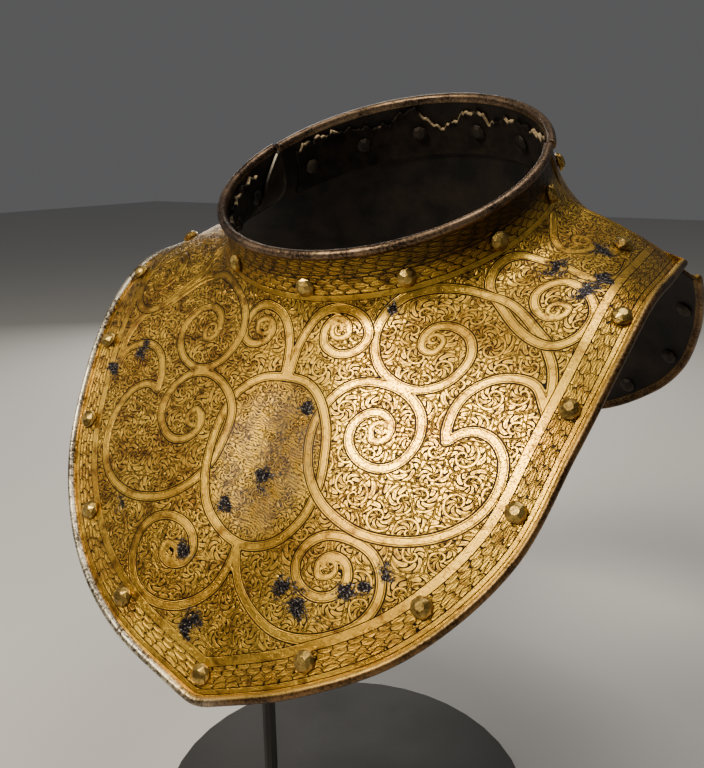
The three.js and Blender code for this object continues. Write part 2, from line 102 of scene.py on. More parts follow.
def skin(plate, turn, share):
    """Face of a plate. Share 0 to 1 is a straight line down the collar, 1 to 2 a quadratic curve whose
    middle point is the corner under the collar, and 2 to 3 a line to the edge with 4 c t (1 - t) of lift."""
    turn, share = np.broadcast_arrays(np.asarray(turn, float), np.asarray(share, float))
    out, radius = around(turn), plate["neck"](turn)[..., None]
    neck = RING_CENTRE + out * radius
    corner = RING_CENTRE + out * (radius + COLLAR_FLARE) - NECK_AXIS * plate["height"]
    edge = plate["edge"](turn)
    up, down = unit(neck - corner), unit(edge - corner)
    edge = edge - down * EDGE_ROLL
    top, end = corner + up * FOLD_REACH, corner + down * FOLD_REACH
    lift = unit(up - np.sum(up * down, -1, keepdims=True) * down)
    s = share[..., None]
    t, q = s - 1, s - 2
    fold = top * (1 - t) ** 2 + corner * 2 * t * (1 - t) + end * t**2
    slope = end + (edge - end) * q + lift * 4 * CROWN * q * (1 - q)
    return np.where(s < 1, neck + (top - neck) * s, np.where(s < 2, fold, slope))


def outward(plate, turn, share):
    """Unit normal of the face, from the cross product of its steps down and across."""
    step = 0.02
    turn, share = np.broadcast_arrays(np.asarray(turn, float), np.asarray(share, float))
    across = skin(plate, turn + step, share) - skin(plate, turn - step, share)
    s = np.clip(share, step, 3 - step)
    return unit(np.cross(skin(plate, turn, s + step) - skin(plate, turn, s - step), across))


def turned_over(end, out, away, radius, steps):
    """Half a turned edge in section: points on a circle whose far side is flush with the sheet's inside,
    from the angle 180 down to where the circle meets the face again."""
    centre = radius - SHEET
    a = np.radians(np.linspace(180, -math.degrees(math.acos(-centre / radius)), steps))[:, None]
    return end[:, None] + out[:, None] * (centre + radius * np.cos(a)) + away[:, None] * radius * np.sin(a)


def plate_rings(plate, turns, face_shares, wall_shares, roll_steps):
    """Closed sections across a plate, one for each turn: neck roll, face, edge roll, inner wall."""
    t = turns[:, None]
    top, end = skin(plate, turns, 0.0), skin(plate, turns, 3.0)
    up, out = unit(top - skin(plate, turns, 0.3)), unit(end - skin(plate, turns, 2.95))
    neck = turned_over(top, outward(plate, turns, 0.0), up, NECK_ROLL, roll_steps)
    edge = turned_over(end, outward(plate, turns, 3.0), out, EDGE_ROLL, roll_steps)[:, ::-1]
    face = skin(plate, t, face_shares)
    wall = skin(plate, t, wall_shares) - SHEET * outward(plate, t, wall_shares)
    return np.concatenate([neck, face, edge, wall], 1)


def ring_mesh(name, rings, attributes):
    """Mesh of closed sections joined row to row by quads and capped at both ends, with its attributes."""
    rows, count = rings.shape[:2]
    i, j = np.meshgrid(np.arange(rows - 1), np.arange(count), indexing="ij")
    a, b = i * count + j, i * count + (j + 1) % count
    quads = np.stack([a, b, b + count, a + count], -1).reshape(-1, 4)
    caps = [list(range(count))[::-1], list(range((rows - 1) * count, rows * count))]
    mesh = bpy.data.meshes.new(name)
    mesh.from_pydata((rings.reshape(-1, 3) * 0.001).tolist(), [], quads.tolist() + caps)
    for key, values in attributes:
        store = mesh.attributes.new(key, "FLOAT_VECTOR", "POINT")
        store.data.foreach_set("vector", np.asarray(values, np.float32).reshape(-1))
    mesh.polygons.foreach_set("use_smooth", [True] * len(quads) + [False, False])
    mesh.update()
    piece = bpy.data.objects.new(name, mesh)
    bpy.context.scene.collection.objects.link(piece)
    return piece


# The fan that the flat sheet makes of the cone, and how scroll bands curl up and thin out at their ends
FAN, FOLD_RADIUS, FOLD_LENGTH, COLLAR_LENGTH = 0.84, 101.0, 21, 13
CURL_STEPS, CURL_TURN, CURL_SHRINK, LONGEST_STEP = 7, math.radians(50), 0.84, 3.6
CURL_POINTS, THIN_END, THINNING, BAND_REACH, FAR_OFF = 9, 0.36, 34, 4, 99

# The etcher's drawing, on the sheet as it would lie flat: x to the wearer's left and y up, in mm, about
# the point where the slopes of the cone meet. Each row is one scroll band's centre-line.
OVAL = [[0, -120.5], [10, -122], [18, -128], [24.5, -139], [27.7, -151], [29, -163], [26.5, -176],
        [19, -186.5], [9, -191.5], [-1, -192], [-11, -187.5], [-19, -179], [-23.5, -166], [-24.6, -152.5],
        [-23.5, -141], [-19.5, -130.5], [-11, -123], [0, -120.5]]
UPPER_SET = [
    OVAL,
    [[1, -121], [1, -108], [3, -99], [8, -92], [16, -89], [25, -91], [29.5, -98], [27, -105], [20, -108],
     [13, -105], [11, -98.5], [14.5, -93.5], [19.5, -94.5], [21, -99], [17.5, -101]],
    [[-1, -121], [-3, -108], [-6, -100], [-11, -93.5], [-18.5, -90.5], [-25, -92], [-29, -98],
     [-27, -105.5], [-21, -108.5], [-15, -105.5], [-14, -100], [-17.5, -96.5], [-22, -98], [-21, -102]],
    [[0, -193.5], [2.6, -202], [7.7, -209.6], [17, -216.4], [28, -220.3], [40, -219.8], [51, -215.5],
     [59.5, -208.7], [63.5, -199.5], [62, -190], [56.5, -183.3], [47.6, -180.2], [38.3, -180.7],
     [31.5, -185.8], [29, -193.4], [32.3, -200.4], [40, -203.6], [47, -201.5], [50.5, -195.5],
     [48.5, -189.5], [43, -187.5], [38.5, -191], [39.5, -196], [44, -195]],
    [[0, -193.5], [-1.7, -202.8], [-5, -211.3], [-12, -219], [-20.5, -223.5], [-30.5, -224], [-40, -219.6],
     [-45.7, -210.4], [-46, -200], [-41.6, -192.6], [-34, -189.2], [-26.3, -189.8], [-21, -193.5],
     [-18.7, -199.5], [-21, -205.3], [-26.5, -207.8], [-31.5, -205.3], [-31.5, -200.5], [-27, -200.5]],
    [[95, -56], [88, -51.5], [79, -50.5], [72, -55], [69, -62.5], [70, -70], [76.5, -79], [84, -88],
     [92, -94], [100, -95.5], [107.5, -90.5], [111, -80.5], [107.5, -71], [99.5, -64.7], [92.5, -65.7],
     [88, -71], [89, -78], [94, -82.7], [99.5, -82], [101.5, -78], [97.5, -76]],
    [[-72, -57], [-76, -66], [-75, -76], [-80, -88], [-88.4, -98], [-97, -101], [-105, -97], [-110.5, -88],
     [-111.3, -79], [-107, -71], [-100, -65.6], [-93.5, -69.3], [-91, -77], [-92.6, -84.6], [-97.7, -88],
     [-102, -84.6], [-101, -79], [-97, -79]],
    [[86, -23], [88, -31], [90, -37.5], [95.5, -42.5], [102, -41.5], [105.4, -36.5], [103.5, -31],
     [98.6, -30], [97.5, -34.5], [100.5, -36]],
]
LOWER_SET = [
    [[71, -137.3], [75.7, -133.2], [81.6, -132.2], [88.4, -135.6], [92.8, -143.3], [92.7, -154.3],
     [87.6, -164.5], [78, -172.4], [65.5, -176.8], [51, -177.3], [38.3, -173], [29, -166.2], [22, -156],
     [19, -144], [20, -134], [25.5, -123.7], [32.3, -118.8], [41, -117.6], [51, -120.3], [58.7, -127.5],
     [61, -137.3], [58, -146.5], [51, -151.6], [42.5, -150.6], [36.3, -145], [35, -137.3], [39, -131.2],
     [45, -130], [49.5, -134], [49, -139.5], [44.5, -141.5], [42.5, -137]],
    [[-65.8, -137.3], [-70, -135.6], [-75, -136.5], [-81.6, -141.6], [-85.5, -151], [-85.8, -163],
     [-81.6, -174], [-73, -181.5], [-61.2, -185], [-49.3, -184.6], [-37.4, -180.7], [-28, -173],
     [-22, -163], [-19.5, -151], [-19.5, -141], [-23.8, -133], [-32.3, -127], [-41.6, -125], [-51, -128],
     [-57, -135.6], [-58.6, -145], [-54.4, -152.6], [-46.7, -157], [-39, -156], [-34, -151], [-34, -145],
     [-38.2, -142.2], [-41.8, -145.6], [-40, -149]],
    [[97, -94.5], [91.8, -89], [85, -81.5], [79, -76.5], [72, -73.3], [62.9, -72], [51, -74], [40, -79.7],
     [33.5, -88.9], [32.3, -98.2], [36.8, -109.5], [45.9, -116.6], [56.1, -118.2], [65.3, -113.3],
     [70.4, -103.5], [68.3, -94.5], [61.8, -89.8], [55, -89.8], [51, -94.5], [51.5, -100.5], [56, -101.8],
     [58.5, -97.5]],
    [[-89.2, -101], [-83.3, -95.7], [-77.3, -88], [-71.7, -80.4], [-66.3, -76.2], [-57.8, -75.4],
     [-47.6, -79.5], [-37.4, -87.2], [-31.4, -95.7], [-29.4, -105], [-32.3, -115], [-39, -121.5],
     [-47.6, -123.4], [-57, -120], [-63.7, -112.5], [-65.2, -103.3], [-62, -96], [-54.8, -92.6],
     [-47.6, -95], [-43.8, -101.6], [-45, -107.5], [-49.6, -108.8], [-51.5, -104.5]],
    [[102.4, -122], [97, -112.7], [88.4, -110], [80, -111.8], [73, -117.8], [70, -125.4], [69.8, -133],
     [71, -137.3]],
    [[97, -96.5], [101, -105], [102.5, -113], [103, -124]],
    [[-97.5, -130], [-94.8, -122.5], [-88.4, -118.3], [-80, -117.2], [-72.2, -121], [-67, -128.6],
     [-65.6, -137.3]],
    [[-94, -102], [-98, -111], [-98.5, -121], [-97.5, -132]],
    [[88, -52], [96, -55], [100.3, -58], [106.3, -61], [113.5, -60.5], [119, -54], [122, -40]],
]
# where the first set lies over the second (1) or under it (0)
CROSSINGS = [[20.5, -131, 1], [28.5, -165, 0], [-21.5, -135, 0], [-23, -165, 1], [70, -73.5, 0], [96, -95, 1],
             [-73, -82, 0], [-88, -99, 1], [94, -56, 1]]
# places worn to the bare dark steel: x, y and radius
BARE = [[35, -208, 9], [26, -203, 7], [50, -200, 6], [63, -189, 6], [-22, -200, 6], [-62, -191, 5],
        [92, -55, 8], [106, -68, 8], [113, -60, 7], [14, -133, 6], [-12, -228, 8], [-100, -133, 6],
        [36, -85, 5], [110, -38, 7], [58, -196, 5], [-85, -120, 6], [3, -165, 7], [-10, -178, 6]]


def flowing(points, steps=9):
    """Smooth curve through points: each span is the cubic whose slope at an end is half the chord of the
    points on both sides of that end."""
    p = np.array(points, float)
    p = np.vstack([2 * p[0] - p[1], p, 2 * p[-1] - p[-2]])
    t = np.linspace(0, 1, steps, endpoint=False)[None, :, None]
    a, b, c, d = (p[i : len(p) - 3 + i, None] for i in range(4))
    curve = 0.5 * (2 * b + (c - a) * t + (2 * a - 5 * b + 4 * c - d) * t**2 + (3 * b - a - 3 * c + d) * t**3)
    return np.vstack([curve.reshape(-1, 2), p[-2]])


def nearest(points, path):
    """Distance from each point to a broken line, and the length along it to the nearest place."""
    best = np.full(len(points), 1e9)
    run = np.zeros(len(points))
    start = 0.0
    for a, b in zip(path[:-1], path[1:]):
        side = b - a
        length = max(np.linalg.norm(side), 1e-9)
        t = np.clip((points - a) @ side / length**2, 0, 1)
        gap = np.linalg.norm(points - a - t[:, None] * side, axis=1)
        closer = gap < best
        best[closer], run[closer] = gap[closer], (start + t * length)[closer]
        start += length
    return best, run


def curled(points):
    """The centre-line of a scroll, carried on inwards by a few steps, each a turned and shortened copy of the
    step before."""
    p = [np.array(q, float) for q in points]
    step = p[-1] - p[-2]
    before = p[-2] - p[-3]
    hand = math.copysign(1, before[0] * step[1] - before[1] * step[0])
    step = unit(step) * min(np.linalg.norm(step), LONGEST_STEP)
    c, s = math.cos(CURL_TURN * hand), math.sin(CURL_TURN * hand)
    for _ in range(CURL_STEPS):
        step = CURL_SHRINK * np.array([step[0] * c - step[1] * s, step[0] * s + step[1] * c])
        p.append(p[-1] + step)
    return p


def band_distance(points, scroll):
    """Distance to a scroll band's centre-line, divided by the share of its width that is left: this falls
    evenly over the last part of a curled band. Points well outside its box are left far off."""
    ends_in_curl = len(scroll) > CURL_POINTS and scroll is not OVAL
    path = flowing(curled(scroll) if ends_in_curl else scroll)
    gap = np.full(len(points), float(FAR_OFF))
    close = np.all((points > path.min(0) - BAND_REACH) & (points < path.max(0) + BAND_REACH), axis=1)
    near, run = nearest(points[close], path)
    if ends_in_curl:
        whole = np.sum(np.linalg.norm(np.diff(path, axis=0), axis=1))
        near = near / (THIN_END + (1 - THIN_END) * np.clip((whole - run) / THINNING, 0, 1))
    gap[close] = near
    return gap


def drawing_place(turn, share, slope_length):
    """Where a point of the face lies in the flat drawing: a fan of so much of the turn about the cone's
    point, at the fold's radius plus the way down the slope."""
    in_collar = share * COLLAR_LENGTH - (FOLD_LENGTH + COLLAR_LENGTH)
    above_slope = np.where(share >= 1, (share - 2) * FOLD_LENGTH, in_collar)
    down = np.where(share >= 2, (share - 2) * slope_length, above_slope)
    a = FAN * np.radians(turn)
    return np.stack([(FOLD_RADIUS + down) * np.sin(a), -(FOLD_RADIUS + down) * np.cos(a)], -1), down


def etching(plate, turns, shares, rings, roll_steps, middle, drawing_scale, seams):
    """The drawing's measures at each point of the face: place, distance to both sets of bands and which is
    over, distance to the edge and length along it, distance down from the collar, to the seam, wear."""
    rows, count = rings.shape[:2]
    shape = (rows, len(shares))
    turn = np.broadcast_to(turns[:, None], shape)
    share = np.broadcast_to(shares, shape)
    length = np.linalg.norm(skin(plate, turns, 3.0) - skin(plate, turns, 2.0), axis=-1)[:, None]
    place, down = drawing_place(turn - middle, share, length)
    flat = place.reshape(-1, 2)
    scaled = flat / drawing_scale
    first = np.min([band_distance(scaled, c) for c in UPPER_SET], 0) * drawing_scale
    second = np.min([band_distance(scaled, c) for c in LOWER_SET], 0) * drawing_scale
    marks = np.array(CROSSINGS)
    over = marks[np.argmin(np.linalg.norm(scaled[:, None] - marks[None, :, :2], axis=2), 1), 2]
    face = rings[:, roll_steps : roll_steps + len(shares)].reshape(-1, 3)
    half = len(turns) // 2
    edge_line = skin(plate, turns, 3.0)
    left, run_left = nearest(face, edge_line[half:])
    right, run_right = nearest(face, edge_line[: half + 1][::-1])
    edge, run = np.minimum(left, right), np.where(left < right, run_left, run_right)
    seam_lines = [skin(plate, np.full(30, s), np.linspace(0, 3, 30)) for s in seams]
    seam = np.minimum.reduce([nearest(face, line)[0] for line in seam_lines])
    wear = np.max([1 - np.linalg.norm(scaled - [x, y], axis=1) / r for x, y, r in BARE], 0)
    zero = np.zeros_like(edge)
    face_end = roll_steps + len(shares)
    edge_roll = slice(face_end, face_end + roll_steps)

    def spread(columns, outside):
        """Three columns of the face as one array over the whole section, with set numbers off the face."""
        full = np.tile(np.asarray(outside, float), (rows, count, 1))
        full[:, roll_steps:face_end] = np.stack(columns, -1).reshape(rows, len(shares), 3)
        return full

    around_roll = spread((wear, zero, zero), [0, 0, 0])
    # the way round the edge roll, from its top to its outer side, along which the material paints shade at
    # the right side
    around_roll[:, edge_roll, 1] = np.linspace(0, 1, roll_steps)
    kind = np.zeros((rows, count, 3))
    kind[:, :roll_steps, 1] = 1
    kind[:, edge_roll, 2] = 1
    kind[:, face_end + roll_steps :, 0] = 1
    return [
        ("drawing", spread((flat[:, 0], flat[:, 1], down.reshape(-1)), [0, 0, 0])),
        ("bands", spread((first, second, over), [FAR_OFF, FAR_OFF, 1])),
        ("border", spread((edge, run, seam), [FAR_OFF, 0, FAR_OFF])),
        ("wear", around_roll),
        ("kind", kind),
    ]


def shares_down(collar, fold, slope):
    """Shares of a face, so many in each of its three parts."""
    parts = [np.linspace(0, 1, collar, endpoint=False)[1:], np.linspace(1, 2, fold, endpoint=False)]
    return np.concatenate([*parts, np.linspace(2, 3, slope, endpoint=False)])


ROLL_STEPS = 13
u = np.linspace(-1, 1, 381)
front_turns = SEAM * np.sign(u) * (0.8 * np.abs(u) + 0.2 * u**2)
front_shares = shares_down(14, 24, 156)
wall = shares_down(5, 10, 22)[::-1]
front_rings = plate_rings(FRONT, front_turns, front_shares, wall, ROLL_STEPS)
front_marks = etching(FRONT, front_turns, front_shares, front_rings, ROLL_STEPS, 0.0, 1.0, (-SEAM, SEAM))
front_plate = ring_mesh("gilded_front_plate", front_rings, front_marks)


def fed(tree, place, value):
    """Fills a node's input: linked where the value is a measure or a socket, and typed in otherwise."""
    if isinstance(value, Measure):
        tree.links.new(value.socket, place)
    elif isinstance(value, bpy.types.NodeSocket):
        tree.links.new(value, place)
    else:
        place.default_value = value


class Measure:
    """A number that a material works out at each point of a surface with its Math nodes."""

    def __init__(self, tree, socket):
        self.tree, self.socket = tree, socket

    def made(self, operation, *values, clamp=False):
        """The result of one Math node."""
        node = self.tree.nodes.new("ShaderNodeMath")
        node.operation, node.use_clamp = operation, clamp
        for place, value in zip(node.inputs, values):
            fed(self.tree, place, value)
        return Measure(self.tree, node.outputs[0])

    def __add__(self, other):
        return self.made("ADD", self, other)

    def __sub__(self, other):
        return self.made("SUBTRACT", self, other)

    def __rsub__(self, other):
        return self.made("SUBTRACT", other, self)

    def __mul__(self, other):
        return self.made("MULTIPLY", self, other)

    def __truediv__(self, other):
        return self.made("DIVIDE", self, other)

    def size(self):
        """Without its sign."""
        return self.made("ABSOLUTE", self)

    def rest(self):
        """What is over the last whole number."""
        return self.made("FRACT", self)

    def above(self, level, soft=0.2):
        """0 under the level and 1 over it, with a slope that is soft wide."""
        return self.made("MULTIPLY_ADD", self, 1 / soft, 0.5 - level / soft, clamp=True)

    def line(self, centre, half, soft=0.12):
        """1 on a line half wide on each side of the centre, and 0 off it."""
        return 1 - (self - centre).size().above(half, soft)

    def into(self, other, share):
        """self where share is 0, other where it is 1, mixed between."""
        return self + (other - self) * share


def finish_named(name):
    """New material and its parts: the material, its tree and its surface shader."""
    material = bpy.data.materials.new(name)
    material.use_nodes = True
    return material, material.node_tree, material.node_tree.nodes["Principled BSDF"]


def split(tree, socket):
    """The parts of a vector or colour."""
    node = tree.nodes.new("ShaderNodeSeparateXYZ")
    tree.links.new(socket, node.inputs[0])
    return [Measure(tree, out) for out in node.outputs]


def stored(tree, key):
    """The three numbers of a mesh attribute."""
    node = tree.nodes.new("ShaderNodeAttribute")
    node.attribute_name = key
    return split(tree, node.outputs["Vector"])


def placed(tree, x, y):
    """Two measures as one place for a flat pattern."""
    node = tree.nodes.new("ShaderNodeCombineXYZ")
    for place, value in zip(node.inputs, (x, y)):
        fed(tree, place, value)
    return node.outputs[0]


def grain(tree, where, scale, detail=3.0, roughness=0.55):
    """Cloudy noise, 0 to 1."""
    node = tree.nodes.new("ShaderNodeTexNoise")
    node.inputs["Scale"].default_value = scale
    node.inputs["Detail"].default_value = detail
    node.inputs["Roughness"].default_value = roughness
    tree.links.new(where, node.inputs["Vector"])
    return Measure(tree, node.outputs["Fac"])


def cells(tree, where, feature, scale=1.0, spread=0.8):
    """Cells around scattered points, in the plane."""
    node = tree.nodes.new("ShaderNodeTexVoronoi")
    node.voronoi_dimensions, node.feature = "2D", feature
    node.inputs["Scale"].default_value = scale
    node.inputs["Randomness"].default_value = spread
    tree.links.new(where, node.inputs["Vector"])
    return node.outputs


def tinted(tree, dark, light, share):
    """Colour between two, each a colour or a socket, at a measured share."""
    node = tree.nodes.new("ShaderNodeMix")
    node.data_type = "RGBA"
    tree.links.new(share.socket, node.inputs["Factor"])
    for place, value in ((node.inputs[6], dark), (node.inputs[7], light)):
        fed(tree, place, (*value, 1) if isinstance(value, tuple) else value)
    return node.outputs[2]


def raised(tree, surface, height, depth):
    """Bump of the surface, with depth in metres for a height of 1."""
    node = tree.nodes.new("ShaderNodeBump")
    node.inputs["Distance"].default_value = depth
    tree.links.new(height.socket, node.inputs["Height"])
    tree.links.new(node.outputs[0], surface.inputs["Normal"])


def stippled(tree, place):
    """The punched ground between leaves: fine dots, 0.22 to 0.72."""
    return grain(tree, place, 1.5, 2.0, 0.7).above(0.48, 0.25) * 0.5 + 0.22


def drawn_on(ground, shape):
    """A form over a ground: gold inside the form, a dark line at its edge and the ground beyond."""
    return ground * (1 - shape.above(-0.5, 0.3)) + shape.above(0.25, 0.35)


def foliage(tree, x, y, size, pitch, ground):
    """Scrolls: each cell has one spiral, where distance over the pitch plus the angle as a share of a turn
    has a steady remainder. A stem runs where that is near 0.16, and from 0.27 to 0.97 eight lobes to the
    turn lean off it. Small cells lie as buds between the scrolls. Forms are measured in from their edge."""
    where = placed(tree, x / size, y / size)
    found = cells(tree, where, "F1", spread=0.7)
    gap = Measure(tree, cells(tree, where, "DISTANCE_TO_EDGE", spread=0.7)["Distance"]) * size
    centre, chance = split(tree, found["Position"]), split(tree, found["Color"])
    across, along = (x / size - centre[0]) * size, (y / size - centre[1]) * size
    far = (across * across + along * along).made("SQRT", across * across + along * along)
    hand = chance[0].made("GREATER_THAN", chance[0], 0.5) * 2 - 1
    angle = along.made("ARCTAN2", along, across) * hand / (2 * math.pi) + chance[1]
    band = (far / pitch + angle).rest()
    stem = (0.095 - (band - 0.16).size()) * (pitch * 4)
    inward = (band - 0.27) / 0.7
    bend = (angle * 8 + inward * inward * 0.9 + far * 0.06).rest() - 0.5
    width = (inward * (1 - inward)).made("MAXIMUM", inward * (1 - inward), 0.0)
    lobe = (width.made("POWER", width, 0.4) * 0.8 - bend.size()) * (far * 0.55 + 1.2)
    rib = 1 - bend.line(-0.02, 0.035, 0.05) * inward.above(0.25, 0.1) * 0.7
    gold = drawn_on(drawn_on(ground, lobe) * rib, stem)
    buds = Measure(tree, cells(tree, placed(tree, x, y), "DISTANCE_TO_EDGE", 0.42, 0.9)["Distance"])
    buds = drawn_on(ground, (buds - 0.14) * 7)
    return buds.into(gold, gap.above(0.75, 0.1)) * (1 - gap.line(0.75, 0.14, 0.15) * 0.8)


def laurel(along, across, rows, leaf_length, ground, stray):
    """Pointed leaves in rows along a border, strayed a little: each cell of the staggered rows has a leaf
    whose half width is 0.49 sin(pi a), leaning out from the middle row, with its midrib and outline dark."""
    row = (across + stray * 0.1) * rows
    number = row.made("FLOOR", row)
    aside = row.rest() - 0.5
    lean = (across - 0.5).size() * 1.6
    a = (along / leaf_length + number * 0.37 + lean + stray * 0.8 + aside.size() * 0.35).rest()
    width = (a * math.pi).made("SINE", a * math.pi) * 0.49
    leaf = drawn_on(ground, (width - aside.size()) * 5)
    vein = (a * 6 - aside.size() * 6).rest().line(0.5, 0.1, 0.25) * 0.22
    return leaf * (1 - aside.line(0, 0.05, 0.08) * 0.7) * (1 - vein)


SCROLL_SIZE, SCROLL_PITCH, FINE_SIZE, FINE_PITCH = 11.0, 4.6, 8.0, 3.2
OVAL_X, OVAL_Y, OVAL_HALF_WIDTH, OVAL_HALF_HEIGHT = 2, -156.3, 24.5, 34.5
RIM_START, RIM_WIDTH, RIM_ROWS, RIM_LEAF = 4.6, 8.2, 4.0, 6.6
BASE_START, BASE_WIDTH, BASE_ROWS, BASE_LEAF, BASE_RADIUS = -32.2, 16.4, 8.0, 7.4, 98.8
BUMP_DEPTH = 0.0002
# the rust's red-brown also serves as painted shade on the left side
DEEP_GOLD, BRIGHT_GOLD, RUST_AND_LEFT_SHADE_BROWN = (0.64, 0.33, 0.035), (1.0, 0.60, 0.075), (0.17, 0.05, 0.012)
# the dim brown is worn gilding together with painted shade under the neck roll
ETCHED_LINE, COLLAR_PATINA_AND_SHADE_BROWN, WORN_SILVER = (0.006, 0.003, 0.002), (0.03, 0.019, 0.012), (0.34, 0.30, 0.29)
BARE_DARK, BARE_BRIGHT = (0.012, 0.009, 0.011), (0.36, 0.33, 0.31)
NECK_DARK, NECK_BROWN = (0.022, 0.014, 0.010), (0.27, 0.175, 0.105)
PALE_PIT, PALE_STEEL = (0.05, 0.034, 0.02), (0.85, 0.76, 0.58)
GOLD_PIT, EDGE_GOLD = (0.12, 0.075, 0.02), (0.90, 0.57, 0.12)
# painted shade for the outer side of the edge roll at the right:
SHADED_EDGE_PIT, SHADED_EDGE_BROWN = (0.02, 0.010, 0.005), (0.22, 0.12, 0.045)
INSIDE_BLACK, INSIDE_BROWN = (0.004, 0.003, 0.003), (0.022, 0.014, 0.009)

gilded, tree, surface = finish_named("gilded_etched_steel")
x, y, down = stored(tree, "drawing")
first, second, over = stored(tree, "bands")
edge, run, seam = stored(tree, "border")
bare, over_roll, _ = stored(tree, "wear")
inside, neck_roll, edge_roll = stored(tree, "kind")
flat_place = placed(tree, x, y)
body = tree.nodes.new("ShaderNodeTexCoord").outputs["Object"]
object_x = split(tree, body)[0]
speck = grain(tree, flat_place, 1.1, 4.0, 0.7)
cloud = grain(tree, flat_place, 0.035, 4.0, 0.6)
blot = grain(tree, flat_place, 0.14, 6.0, 0.7)
ground = stippled(tree, flat_place)

# the field: foliage between the scroll bands, and a finer one with hatching inside the oval
leaves = foliage(tree, x, y, SCROLL_SIZE, SCROLL_PITCH, ground)
from_middle, from_level = (x - OVAL_X) / OVAL_HALF_WIDTH, (y - OVAL_Y) / OVAL_HALF_HEIGHT
oval = from_middle * from_middle + from_level * from_level
hatch = ((x * 0.3 + y) * 0.8 + blot * 6).rest().line(0.5, 0.34, 0.25) * 0.95
picture = foliage(tree, x + 40, y, FINE_SIZE, FINE_PITCH, ground)
picture = picture.into(hatch, grain(tree, flat_place, 0.075, 2.0).above(0.55, 0.04))
gold = leaves.into(picture, 1 - oval.above(1, 0.05))

# the bands: whichever set is over, where it covers, else the other
over = over.made("GREATER_THAN", over, 0.5)
top_band, low_band = second.into(first, over), first.into(second, over)
band = top_band.into(low_band, top_band.above(2.5, 0.05))
outer_line, inner_line = band.line(2.05, 0.3, 0.2), band.line(1.25, 0.13, 0.15) * 0.85
band_face = 1 - outer_line.made("MAXIMUM", outer_line, inner_line)
gold = gold.into(band_face, 1 - band.above(2.4, 0.2))

# the border along the outer edge, the band under the collar and the lines along the shoulder seam
stray = grain(tree, flat_place, 0.3, 2.0, 0.5) - 0.5
rim = laurel(run, (edge - RIM_START) / RIM_WIDTH, RIM_ROWS, RIM_LEAF, ground, stray)
rim = rim * (1 - edge.line(12.9, 0.25)) * (1 - edge.line(4.5, 0.25))
rim = rim.into(1 - edge.line(16.7, 0.25), edge.above(13.0, 0.1))
rim = rim.into((1 - edge.line(2.6, 0.16)) * edge.above(0.7, 0.5), 1 - edge.above(4.4, 0.1))
gold = rim.into(gold, edge.above(16.8, 0.15))
turned = x.made("ARCTAN2", x, y * -1) * BASE_RADIUS
base = laurel(turned, (down - BASE_START) / BASE_WIDTH, BASE_ROWS, BASE_LEAF, ground, stray)
base = base * (1 - down.line(-15.7, 0.22)) * (1 - down.line(-22.4, 0.22)) * (1 - down.line(-24.0, 0.2))
base = base.into(1 - down.line(-13.2, 0.22), down.above(-15.6, 0.1))
gold = base.into(gold, down.above(-13.1, 0.15))
gold = (1 - seam.line(1.7, 0.2)).into(gold, seam.above(3.0, 0.2)) * (1 - seam.line(3.0, 0.22))

# wear and painted shade: specks off the gilding everywhere, red-brown rust with a little more painted on the
# left side as shade, the collar top darkened by worn gilding and by painted shade under the neck roll, most
# on the right side, and places worn to bare steel
worn = gold * (1 - speck.above(0.6, 0.15) * 0.35) * (1 - blot.above(0.6, 0.2) * 0.3)
# painted shade: the collar top under the neck roll is darkened, much more on the right side, besides its worn
# dark gilding
collar_patina_and_shade = (1 - down.above(-20, 9)) * (object_x.above(0.045, 0.06) * 0.4 + 0.5)
colour = tinted(tree, DEEP_GOLD, BRIGHT_GOLD, cloud.above(0.45, 0.3))
# red-brown rust patches, with a little more of it on the left side as painted shade
rust_and_left_shade = (blot + (1 - object_x.above(-0.03, 0.1)) * 0.05).above(0.57, 0.15) * 0.75
colour = tinted(tree, colour, RUST_AND_LEFT_SHADE_BROWN, rust_and_left_shade)
colour = tinted(tree, ETCHED_LINE, colour, worn)
colour = tinted(tree, colour, COLLAR_PATINA_AND_SHADE_BROWN, collar_patina_and_shade)
silver = (1 - oval.above(0.75, 0.5)) * blot.above(0.45, 0.15) * 0.16
colour = tinted(tree, colour, WORN_SILVER, silver)
patch = (bare + (blot - 0.5) * 3.2 + (speck - 0.5) * 1.2).above(0.45, 0.3)
scratched = tinted(tree, BARE_DARK, BARE_BRIGHT, speck.above(0.6, 0.1))
colour = tinted(tree, colour, scratched, patch)

# the rolls and the inside: brown neck roll, edge roll of pale steel on the left and gold on the right turning
# to painted shade brown round its outer side, black inner face
pits = grain(tree, body, 900, 4.0, 0.7)
stains = grain(tree, body, 60, 4.0, 0.6)
roll = tinted(tree, NECK_DARK, NECK_BROWN, (pits * 0.7 + stains * 0.5).above(0.6, 0.2))
pitted = pits * 0.6 + stains * 0.5
pale = tinted(tree, PALE_PIT, PALE_STEEL, pitted.above(0.55, 0.15))
golden = tinted(tree, GOLD_PIT, EDGE_GOLD, pitted.above(0.5, 0.2))
